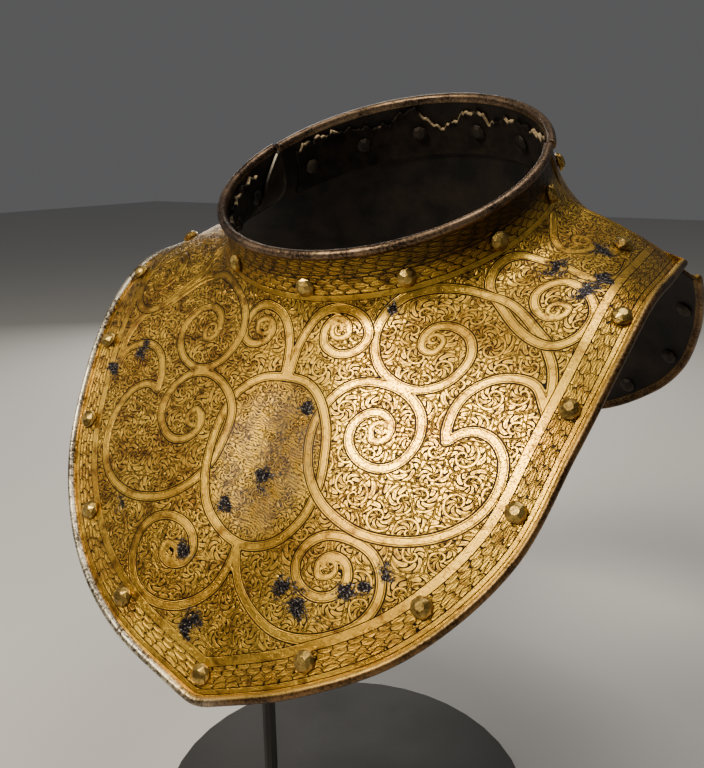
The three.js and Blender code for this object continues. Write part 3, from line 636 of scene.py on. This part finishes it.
# painted shade: on the right side the edge roll's gilded top turns dark brown round its outer side, where
# shade falls
shaded_edge_roll = tinted(tree, SHADED_EDGE_PIT, SHADED_EDGE_BROWN, pitted.above(0.55, 0.2))
shaded_edge_roll = tinted(tree, golden, shaded_edge_roll, over_roll.above(0.3, 0.1))
pale = tinted(tree, pale, shaded_edge_roll, object_x.above(-0.005, 0.05))
colour = tinted(tree, colour, roll, neck_roll.above(0.5, 0.1))
colour = tinted(tree, colour, pale, edge_roll.above(0.5, 0.1))
dark_face = tinted(tree, INSIDE_BLACK, INSIDE_BROWN, (stains + pits * 0.3).above(0.68, 0.3))
colour = tinted(tree, colour, dark_face, inside.above(0.5, 0.1))
tree.links.new(colour, surface.inputs["Base Color"])
metal = worn * 0.1 + 0.88
metal = metal.into(0.9, neck_roll).into(0.9, edge_roll).into(0.6, inside)
tree.links.new(metal.socket, surface.inputs["Metallic"])
rough = 0.42 - worn * 0.13 + (cloud - 0.5) * 0.12
rough = rough.into(0.38, neck_roll).into(0.4, edge_roll).into(0.6, inside)
tree.links.new(rough.socket, surface.inputs["Roughness"])
rolls = neck_roll + edge_roll + inside
raised(tree, surface, worn * (1 - inside) * 0.7 + pits * (rolls * 0.5 + 0.06), BUMP_DEPTH)
front_plate.data.materials.append(gilded)
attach(front_plate, "front_half")
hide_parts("front_plate")


# Back plate
# The same work for the back: one sheet with rolled edges. Under each shoulder of the front plate it runs on
# as a tongue, with an open slot for the stud at the wearer's right, where its collar end also tucks inside.

PLATE_PLAY, BACK_STEP, PIVOT_DROP, CATCH_DROP = 0.9, 1.0, 0.6, 1.5
UNDER_FRONT = SHEET + PLATE_PLAY
BACK_REACH, BACK_DROP, SEAM_GAP, BACK_MIDDLE, BACK_DRAWING = 124.0, 145.0, 0.6, 180.0, 0.9
TONGUE_START, TONGUE_TURN, TONGUE_SHARE, TONGUE_WIDTH, TONGUE_EASE = 81, 28, 2.56, 0.68, 4
PIVOT, CATCH = (92, 2.47), (-85, 2.68)
SLOT_HALF, SLOT_LENGTH, CUTTER_HALF, WALL_PLAY = 2.45, 30, 12, 0.05
STEEL_BLACK, STEEL_BROWN, STEEL_BRIGHT = (0.008, 0.006, 0.005), (0.05, 0.035, 0.022), (0.6, 0.54, 0.45)
BACK_EDGE = np.array([
    [105, 1.041, 0.31, 0.33], [111, 1.04, 0.42, 0.425], [118, 1.015, 0.55, 0.55], [127, 0.955, 0.675, 0.69],
    [137, 0.84, 0.775, 0.81], [150, 0.62, 0.88, 0.93], [165, 0.32, 0.965, 0.985], [180, 0, 1, 1],
    [195, -0.32, 0.965, 0.985],
])


def ease(t):
    """Smooth step 3 t^2 - 2 t^3, held to 0 and 1 outside."""
    t = np.clip(t, 0, 1)
    return t * t * (3 - 2 * t)


def back_edge(turn):
    """Outer edge of the back, read from its table at the turn folded about the middle."""
    t = np.where(turn > 180, 360 - turn, turn)
    side = np.sign(180 - turn) * through(BACK_EDGE, t, 1) * HALF_WIDTH
    reach, drop = through(BACK_EDGE, t, 2) * BACK_REACH, through(BACK_EDGE, t, 3) * BACK_DROP
    return np.stack([side, reach, RING_HEIGHT - drop], -1)


def back_neck(turn):
    """Radius of the back collar: a step outside the front at the pivot, easing to inside it at the catch."""
    share = ease((turn - SEAM) / (360 - 2 * SEAM))
    return NECK_RADIUS + BACK_STEP - (BACK_STEP + UNDER_FRONT) * share


BACK = {"neck": back_neck, "height": COLLAR_HEIGHT + UNDER_FRONT, "edge": back_edge}
u = np.linspace(-1, 1, 301)
back_turns = 180 + (180 - SEAM - SEAM_GAP) * np.sign(u) * (0.85 * np.abs(u) + 0.15 * u**2)
back_shares = shares_down(12, 24, 118)
back_wall = shares_down(5, 10, 22)[::-1]
back_rings = plate_rings(BACK, back_turns, back_shares, back_wall, ROLL_STEPS)
back_seams = (SEAM + SEAM_GAP, 360 - SEAM - SEAM_GAP)
back_marks = etching(
    BACK, back_turns, back_shares, back_rings, ROLL_STEPS, BACK_MIDDLE, BACK_DRAWING, back_seams
)
back_plate = ring_mesh("gilded_back_plate", back_rings, back_marks)
back_plate.data.materials.append(gilded)


def thin_wall(name, place, length_steps, width_steps, outer, inner):
    """Closed wall over a patch: the patch's points moved in along its normal by both depths, joined round
    the rim."""
    u, v = np.meshgrid(np.linspace(0, 1, length_steps + 1), np.linspace(0, 1, width_steps + 1), indexing="ij")
    point, normal = place(u, v)
    layers = [(point - normal * depth).reshape(-1, 3) for depth in (outer, inner)]
    number = np.arange(u.size).reshape(u.shape)
    a, b, c, d = number[:-1, :-1], number[:-1, 1:], number[1:, 1:], number[1:, :-1]
    face = np.stack([a, b, c, d], -1).reshape(-1, 4)
    loop = np.concatenate([number[0, :-1], number[:-1, -1], number[-1, :0:-1], number[:0:-1, 0]])
    after = np.roll(loop, -1)
    rim = np.stack([loop, loop + u.size, after + u.size, after], -1)
    quads = np.concatenate([face, face[:, ::-1] + u.size, rim])
    mesh = bpy.data.meshes.new(name)
    mesh.from_pydata((np.concatenate(layers) * 0.001).tolist(), [], quads.tolist())
    piece = bpy.data.objects.new(name, mesh)
    bpy.context.scene.collection.objects.link(piece)
    return piece


def tongue(side):
    """Patch under the front plate's face, by the sheet, its play and the tongue's drop, eased into the back's
    face past the seam."""

    def place(u, v):
        turn = TONGUE_START + TONGUE_TURN * u
        share = TONGUE_SHARE + (v - 0.5) * TONGUE_WIDTH * np.minimum(1, 0.5 + 2.2 * u)
        front_normal = outward(FRONT, side * turn, share)
        drop = UNDER_FRONT + (PIVOT_DROP if side > 0 else CATCH_DROP)
        behind = np.maximum(turn, SEAM)
        back_turn = behind if side > 0 else 360 - behind
        share_of_back = ease((turn - SEAM) / TONGUE_EASE)[..., None]
        point = skin(FRONT, side * turn, share) - front_normal * drop
        point = point + (skin(BACK, back_turn, share) - point) * share_of_back
        normal = front_normal + (outward(BACK, back_turn, share) - front_normal) * share_of_back
        return point, unit(normal)

    return place


def slotted(piece, turn, share, half, length):
    """Cuts an open slot from a place of the front plate towards the tip: a half circle carried on by two
    straight sides, as a prism along the plate's normal."""
    z = outward(FRONT, np.float64(turn), np.float64(share))
    x = around(np.float64(turn + 90))
    x = unit(x - z * (x @ z))
    a = np.radians(np.linspace(90, 270, 25))
    outline = np.vstack([half * np.stack([np.cos(a), np.sin(a)], -1), [[length, -half], [length, half]]])
    count = len(outline)
    axes = np.stack([x, np.cross(z, x), z])
    flat = np.concatenate([np.insert(outline, 2, height, axis=1) for height in (-CUTTER_HALF, CUTTER_HALF)])
    points = (flat @ axes + skin(FRONT, np.float64(turn), np.float64(share))) * 0.001
    i = np.arange(count)
    sides = np.stack([i, (i + 1) % count, (i + 1) % count + count, i + count], -1).tolist()
    mesh = bpy.data.meshes.new("slot_cutter")
    mesh.from_pydata(points.tolist(), [], sides + [i[::-1].tolist(), (i + count).tolist()])
    cutter = bpy.data.objects.new("slot_cutter", mesh)
    bpy.context.scene.collection.objects.link(cutter)
    cut = piece.modifiers.new("slot", "BOOLEAN")
    cut.operation, cut.solver, cut.object = "DIFFERENCE", "EXACT", cutter
    whole = bpy.data.meshes.new_from_object(piece.evaluated_get(bpy.context.evaluated_depsgraph_get()))
    piece.modifiers.clear()
    piece.data = whole
    bpy.data.objects.remove(cutter)


def tucked_end(u, v):
    """Patch of the collar's slanted end, inside the front collar at the wearer's right."""
    share = 0.12 + 2.1 * v
    turn = -(SEAM + 4) + (4 + 12 * np.minimum(1, 0.12 + 1.7 * v)) * u
    point = skin(FRONT, np.maximum(turn, -SEAM), share)
    point = point - UNDER_FRONT * outward(FRONT, np.maximum(turn, -SEAM), share)
    point = np.where((turn < -SEAM)[..., None], skin(BACK, 360 + turn, share), point)
    return point, outward(FRONT, turn, share)


dark_steel, tree, surface = finish_named("dark_steel")
body = tree.nodes.new("ShaderNodeTexCoord").outputs["Object"]
stains, pits = grain(tree, body, 70, 4.0, 0.6), grain(tree, body, 900, 4.0, 0.7)
bright = stored(tree, "bright")[0]
colour = tinted(tree, STEEL_BLACK, STEEL_BROWN, (stains + pits * 0.3).above(0.66, 0.3))
colour = tinted(tree, colour, STEEL_BRIGHT, bright * pits.above(0.35, 0.3))
tree.links.new(colour, surface.inputs["Base Color"])
surface.inputs["Metallic"].default_value = 0.6
tree.links.new((stains * 0.4 + 0.35).socket, surface.inputs["Roughness"])
raised(tree, surface, pits, 0.0001)

TUCK_LENGTH_STEPS, TUCK_WIDTH_STEPS, BRIGHT_STEPS = 20, 24, 14
tongue_depths = (WALL_PLAY, SHEET - WALL_PLAY)
left_tongue = thin_wall("left_shoulder_tongue", tongue(1), 40, 16, *tongue_depths)
right_tongue = thin_wall("right_shoulder_tongue", tongue(-1), 40, 16, *tongue_depths)
slotted(right_tongue, *CATCH, SLOT_HALF, SLOT_LENGTH)
tuck = thin_wall("tucked_collar_end", tucked_end, TUCK_LENGTH_STEPS, TUCK_WIDTH_STEPS, *tongue_depths)
slanted_end = np.zeros((2, TUCK_LENGTH_STEPS + 1, TUCK_WIDTH_STEPS + 1, 3))
slanted_end[:, -1, :BRIGHT_STEPS] = np.linspace(1, 0, BRIGHT_STEPS)[:, None]
store = tuck.data.attributes.new("bright", "FLOAT_VECTOR", "POINT")
store.data.foreach_set("vector", slanted_end.reshape(-1))
for piece in (left_tongue, right_tongue, tuck):
    piece.data.materials.append(dark_steel)
for piece in (back_plate, left_tongue, right_tongue, tuck):
    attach(piece, "back_half")
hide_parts("back_plate")


# Rivets
# Brass rivets with heads cut in facets, gilded and worn, along the borders and around both collars. Their
# ends are spread over small domed washers inside. One turns as the pivot, and one is the stud of the catch.

HEAD_RADIUS, HEAD_HEIGHT, SHANK_RADIUS, WASHER_RADIUS, LEATHER = 4.4, 3.4, 1.8, 4.2, 1.6
FACETS, RIVET_RINGS, DARK_RINGS, TWIST, WORN_CORNER = 8, 10, 4, 0.37, 0.00012
COLLAR_SHARE, COLLAR_HELD = 1.1, LEATHER + 0.6
BRASS_BROWN, BRASS_GILT = (0.10, 0.055, 0.014), (0.55, 0.37, 0.10)


def border_share(plate, turn, inset):
    """Share at which a rivet sits so far in from the edge, along its row."""
    at = np.array([float(turn)])
    length = np.linalg.norm(skin(plate, at, 3.0) - skin(plate, at, 2.0))
    return 3 - (inset - EDGE_ROLL) / length


def mirrored(turns, middle):
    """Each turn, then its partner across the middle, unless it lies there."""
    return [t for turn in turns for t in ([turn] if turn == middle else [turn, (2 * middle - turn)])]


# each rivet's turn, its share down the plate and the thickness that it holds besides the plate
FRONT_BORDER = ((0, 12), (13, 12.5), (26, 14), (38.5, 13.5), (50.5, 12), (67, 9))
front_places = [
    (t, border_share(FRONT, t, inset), 0.0) for turn, inset in FRONT_BORDER for t in mirrored([turn], 0)
]
front_places += [(t, COLLAR_SHARE, COLLAR_HELD) for t in (-86, -65, -34, 1, 33, 63, 93)]
front_places += [
    (*PIVOT, PLATE_PLAY + PIVOT_DROP + SHEET + 0.3),
    (*CATCH, PLATE_PLAY + CATCH_DROP + SHEET + 1.2),
]
back_places = [(t, border_share(BACK, t, 11), 0.0) for t in mirrored((115, 128, 142, 160, 180), 180)]
back_places += [(t, COLLAR_SHARE, COLLAR_HELD) for t in mirrored((118, 143, 167), 180)]


def swell(plate, turn, share, radius):
    """Highest and lowest point of the face around a place, over and under its tangent plane."""
    middle, normal = skin(plate, turn, share), outward(plate, turn, share)
    a = np.arange(FACETS) * math.pi / 4
    step = 0.02
    per_turn = np.linalg.norm(skin(plate, turn + step, share) - middle) / step
    per_share = np.linalg.norm(skin(plate, turn, share + step) - middle) / step
    shares_around = np.minimum(share + radius * np.sin(a) / per_share, 3)
    height = (skin(plate, turn + radius * np.cos(a) / per_turn, shares_around) - middle) @ normal
    return max(0.0, height.max()), min(0.0, height.min())


def rivet_points(plate, turn, share, held, twist):
    """Rings of eight points about the rivet's axis, each ring a radius, a height and a part turn: the
    washer's dome, shank, seat, and three rings of the head whose facets break step with one another."""
    high, low = swell(plate, np.float64(turn), np.float64(share), HEAD_RADIUS)
    seat, foot = 0.25 + high, low - (SHEET + held + 0.45)
    rings = np.array([
        [0.6, foot - 1.9, 0], [2.6, foot - 1.5, 0], [WASHER_RADIUS, foot - 0.35, 0], [WASHER_RADIUS, foot, 0],
        [SHANK_RADIUS, foot, 0], [SHANK_RADIUS, seat, 0], [HEAD_RADIUS - 0.25, seat, 0],
        [HEAD_RADIUS, seat + 0.9, 0], [HEAD_RADIUS * 0.86, seat + HEAD_HEIGHT * 0.64, 0.5],
        [HEAD_RADIUS * 0.42, seat + HEAD_HEIGHT, 0],
    ])
    a = (np.arange(FACETS)[None, :] + rings[:, 2:3] + twist) * math.pi / 4
    flat = np.stack([rings[:, :1] * np.cos(a), rings[:, :1] * np.sin(a), rings[:, 1:2] + 0 * a], -1)
    z = outward(plate, np.float64(turn), np.float64(share))
    x = around(np.float64(turn + 90))
    x = unit(x - z * (x @ z))
    axes = np.stack([x, np.cross(z, x), z])
    return flat @ axes + skin(plate, np.float64(turn), np.float64(share))


def rivet_row(name, plate, places, nodes):
    """All rivets of a plate as one piece: quads between the rings, a cap at each end, and dark steel on the
    lowest four bands and the lower cap, which are the washer and the end spread over it."""
    ring = np.arange(FACETS)
    after, band = (ring + 1) % FACETS, np.arange(RIVET_RINGS - 1)[:, None] * FACETS
    quads = np.stack([band + ring, band + after, band + FACETS + after, band + FACETS + ring], -1)
    quads = quads.reshape(-1, 4)
    points, faces = [], []
    for k, (turn, share, held) in enumerate(places):
        points.append(rivet_points(plate, turn, share, held, TWIST * k).reshape(-1, 3))
        start = k * FACETS * RIVET_RINGS
        faces += (quads + start).tolist()
        faces += [(ring[::-1] + start).tolist(), (ring + FACETS * (RIVET_RINGS - 1) + start).tolist()]
    dark, gilt = DARK_RINGS * FACETS, (RIVET_RINGS - 1 - DARK_RINGS) * FACETS
    metals = np.tile(np.concatenate([np.repeat([1, 0], [dark, gilt]), [1, 0]]), len(places))
    mesh = bpy.data.meshes.new(name)
    mesh.from_pydata((np.concatenate(points) * 0.001).tolist(), [], faces)
    piece = bpy.data.objects.new(name, mesh)
    bpy.context.scene.collection.objects.link(piece)
    mesh.polygons.foreach_set("material_index", metals)
    mesh.materials.append(brass)
    mesh.materials.append(dark_steel)
    bevel = piece.modifiers.new("worn_corners", "BEVEL")
    bevel.width, bevel.segments = WORN_CORNER, 1
    bevel.limit_method, bevel.angle_limit = "ANGLE", math.radians(12)
    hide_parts(*nodes)
    return piece


brass, tree, surface = finish_named("worn_gilt_brass")
body = tree.nodes.new("ShaderNodeTexCoord").outputs["Object"]
stains, pits = grain(tree, body, 160, 4.0, 0.6), grain(tree, body, 1400, 3.0, 0.7)
colour = tinted(tree, BRASS_BROWN, BRASS_GILT, (stains + (pits - 0.5) * 0.5).above(0.45, 0.3))
tree.links.new(colour, surface.inputs["Base Color"])
surface.inputs["Metallic"].default_value = 0.95
tree.links.new((0.5 - stains * 0.3).socket, surface.inputs["Roughness"])
raised(tree, surface, pits, 0.00008)

front_nodes = [f"front_rivet_{k}" for k in range(1, 19)] + ["shoulder_pivot", "catch_stud"]
back_nodes = [f"back_rivet_{k}" for k in range(1, 16)]
front_rivets = rivet_row("front_rivets", FRONT, front_places, front_nodes)
back_rivets = rivet_row("back_rivets", BACK, back_places, back_nodes)
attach(front_rivets, "front_half")
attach(back_rivets, "back_half")


# Leather lining
# What is left of the leather that lined both collars: thin strips held by the collar rivets, torn along
# the top, with pale fibres where it tore.

# turn around the neck and the share of the collar at which the leather is torn off
BACK_TEAR = np.array([[112, 0.42], [118, 0.24], [136, 0.5], [148, 0.44], [155, 0.57], [161, 0.88],
                      [163, 0.43], [171, 0.4], [177, 0.77], [181, 1.0], [187, 0.95], [190, 0.5], [193, 0.2],
                      [199, 0.27], [205, 0.63], [213, 0.6], [220, 0.44], [230, 0.27], [241, 0.21],
                      [248, 0.4]])
FRONT_TEAR = np.array([[-90, 0.35], [-80, 0.3], [-60, 0.5], [-35, 0.42], [-10, 0.5], [20, 0.4], [50, 0.5],
                       [80, 0.38], [98, 0.4]])
LINING_FOOT, LINING_PLAY, LENGTH_STEPS, WIDTH_STEPS = 1.7, 0.3, 420, 22
LEATHER_BLACK, LEATHER_BROWN, TORN_FIBRE = (0.005, 0.0035, 0.003), (0.018, 0.012, 0.008), (0.40, 0.30, 0.18)


def lining(plate, tear, start, end, seed):
    """Patch from the torn line down to the lining's foot, with the line's small teeth from summed sines, and
    curled off the plate along the top by a bell curve of the way down."""

    def place(u, v):
        turn = start + (end - start) * u
        teeth = sum(np.sin(turn * f + seed * k) / f for k, f in enumerate((0.9, 1.7, 3.1, 5.3, 9.1)))
        top = np.maximum(np.interp(turn, tear[:, 0], tear[:, 1]) + 0.06 * teeth, 0.14)
        share = top + (LINING_FOOT - top) * v
        curl = np.exp(-((v / 0.12) ** 2)) * (0.35 + 0.35 * np.sin(turn * 0.9 + seed))
        normal = outward(plate, turn, share)
        return skin(plate, turn, share) - normal * curl[..., None], normal

    return place


leather, tree, surface = finish_named("old_torn_leather")
body = tree.nodes.new("ShaderNodeTexCoord").outputs["Object"]
torn = stored(tree, "torn")[0]
stains, fibres = grain(tree, body, 120, 4.0, 0.6), grain(tree, body, 1500, 3.0, 0.7)
colour = tinted(tree, LEATHER_BLACK, LEATHER_BROWN, stains.above(0.5, 0.3))
patchy = grain(tree, body, 60, 3.0, 0.6).above(0.53, 0.06)
colour = tinted(tree, colour, TORN_FIBRE, (torn + (fibres - 0.5) * 1.4).above(0.75, 0.3) * patchy)
tree.links.new(colour, surface.inputs["Base Color"])
tree.links.new((0.95 - stains * 0.25).socket, surface.inputs["Roughness"])
surface.inputs["Specular IOR Level"].default_value = 0.15
raised(tree, surface, fibres, 0.0002)
for name, plate, tear, start, end, body_name in (
    ("torn_front_leather", FRONT, FRONT_TEAR, -90.0, 98.0, "front_half"),
    ("torn_back_leather", BACK, BACK_TEAR, 112.0, 248.0, "back_half"),
):
    patch_of_leather = lining(plate, tear, start, end, len(name))
    depth = SHEET + LINING_PLAY
    strip = thin_wall(name, patch_of_leather, LENGTH_STEPS, WIDTH_STEPS, depth, depth + LEATHER)
    rows = np.tile(np.linspace(0, 1, WIDTH_STEPS + 1), (LENGTH_STEPS + 1) * 2)
    store = strip.data.attributes.new("torn", "FLOAT_VECTOR", "POINT")
    fading = np.stack([np.exp(-rows * 9), rows, rows], -1).astype(np.float32)
    store.data.foreach_set("vector", fading.reshape(-1))
    strip.data.materials.append(leather)
    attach(strip, body_name)
    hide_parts("front_lining" if plate is FRONT else "back_lining")


# Stand
# A plain museum stand: a round foot of painted iron with a rod bent up to a bow, whose two felt-faced
# discs carry the front plate under its shoulders.

IRON_BLACK, IRON_DUST = (0.012, 0.011, 0.011), (0.035, 0.033, 0.031)
FELT_BLACK, FELT_FLUFF = (0.012, 0.011, 0.01), (0.05, 0.045, 0.04)


def finished(names, material):
    """Gives solids of the pack one material, with their meshes left alone."""
    for name in names:
        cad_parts[name].data.materials.clear()
        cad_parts[name].data.materials.append(material)


iron, tree, surface = finish_named("painted_black_iron")
body = tree.nodes.new("ShaderNodeTexCoord").outputs["Object"]
skin_grain, dust = grain(tree, body, 700, 3.0, 0.6), grain(tree, body, 18, 3.0, 0.6)
colour = tinted(tree, IRON_BLACK, IRON_DUST, dust.above(0.55, 0.4))
tree.links.new(colour, surface.inputs["Base Color"])
surface.inputs["Specular IOR Level"].default_value = 0.3
tree.links.new((dust * 0.3 + 0.45).socket, surface.inputs["Roughness"])
raised(tree, surface, skin_grain, 0.00005)
finished(("stand_base", "stand_post"), iron)

felt, tree, surface = finish_named("dark_felt")
body = tree.nodes.new("ShaderNodeTexCoord").outputs["Object"]
fluff = grain(tree, body, 2200, 4.0, 0.8)
colour = tinted(tree, FELT_BLACK, FELT_FLUFF, fluff.above(0.5, 0.3))
tree.links.new(colour, surface.inputs["Base Color"])
surface.inputs["Roughness"].default_value = 0.95
raised(tree, surface, fluff, 0.0003)
finished(("left_pad", "right_pad"), felt)


# Floor, lights and camera
# A plain pale floor, soft studio light and the camera where the photograph was taken from.

bpy.ops.mesh.primitive_plane_add(size=8, location=(0, 0, 0))
floor = bpy.context.object
floor.name = "studio_floor"
paper, tree, surface = finish_named("pale_floor")
surface.inputs["Base Color"].default_value = (0.62, 0.61, 0.59, 1)
surface.inputs["Roughness"].default_value = 0.8
floor.data.materials.append(paper)

world = bpy.data.worlds.new("studio")
bpy.context.scene.world = world
world.use_nodes = True
world.node_tree.nodes["Background"].inputs["Color"].default_value = (0.8, 0.8, 0.82, 1)
world.node_tree.nodes["Background"].inputs["Strength"].default_value = 0.13


def soft_light(name, place, target, size, power, colour):
    """Square area light at a place, turned to a target."""
    lamp = bpy.data.lights.new(name, "AREA")
    lamp.size, lamp.energy, lamp.color = size, power, colour
    light = bpy.data.objects.new(name, lamp)
    light.location = place
    light.rotation_euler = (Vector(target) - Vector(place)).to_track_quat("-Z", "Y").to_euler()
    bpy.context.scene.collection.objects.link(light)


soft_light("key", (-0.2, -0.77, 1.06), (0.05, -0.08, 0.24), 0.3, 13.5, (1.0, 0.91, 0.72))
soft_light("top", (0.15, 0.1, 1.3), (0.05, -0.05, 0.25), 0.5, 5, (1.0, 0.95, 0.88))
soft_light("side", (-0.9, -0.4, 0.7), (0, 0, 0.25), 0.6, 0.9, (1.0, 0.96, 0.92))
soft_light("behind", (-0.7, 1.0, 0.55), (0, 0.1, 0.25), 0.6, 8, (1.0, 0.95, 0.87))

FOCAL_PIXELS, PICTURE_HEIGHT, SENSOR = 864.2, 768, 36
CAMERA_PLACE = (0.2075, -0.3644, 0.3388)
lens = bpy.data.cameras.new("photograph")
lens.lens, lens.sensor_width = FOCAL_PIXELS * SENSOR / PICTURE_HEIGHT, SENSOR
lens.clip_start, lens.clip_end = 0.01, 20
azimuth, pitch, roll_angle = math.radians(31.56), math.radians(15.30), math.radians(-0.34)
look = Vector((-math.sin(azimuth) * math.cos(pitch), math.cos(azimuth) * math.cos(pitch), -math.sin(pitch)))
level = Vector((math.cos(azimuth), math.sin(azimuth), 0))
upright = level.cross(look)
across = level * math.cos(roll_angle) + upright * math.sin(roll_angle)
upward = upright * math.cos(roll_angle) - level * math.sin(roll_angle)
camera = bpy.data.objects.new("camera", lens)
camera.matrix_world = Matrix.Translation(CAMERA_PLACE) @ Matrix((across, upward, -look)).transposed().to_4x4()
bpy.context.scene.collection.objects.link(camera)
bpy.context.scene.camera = camera
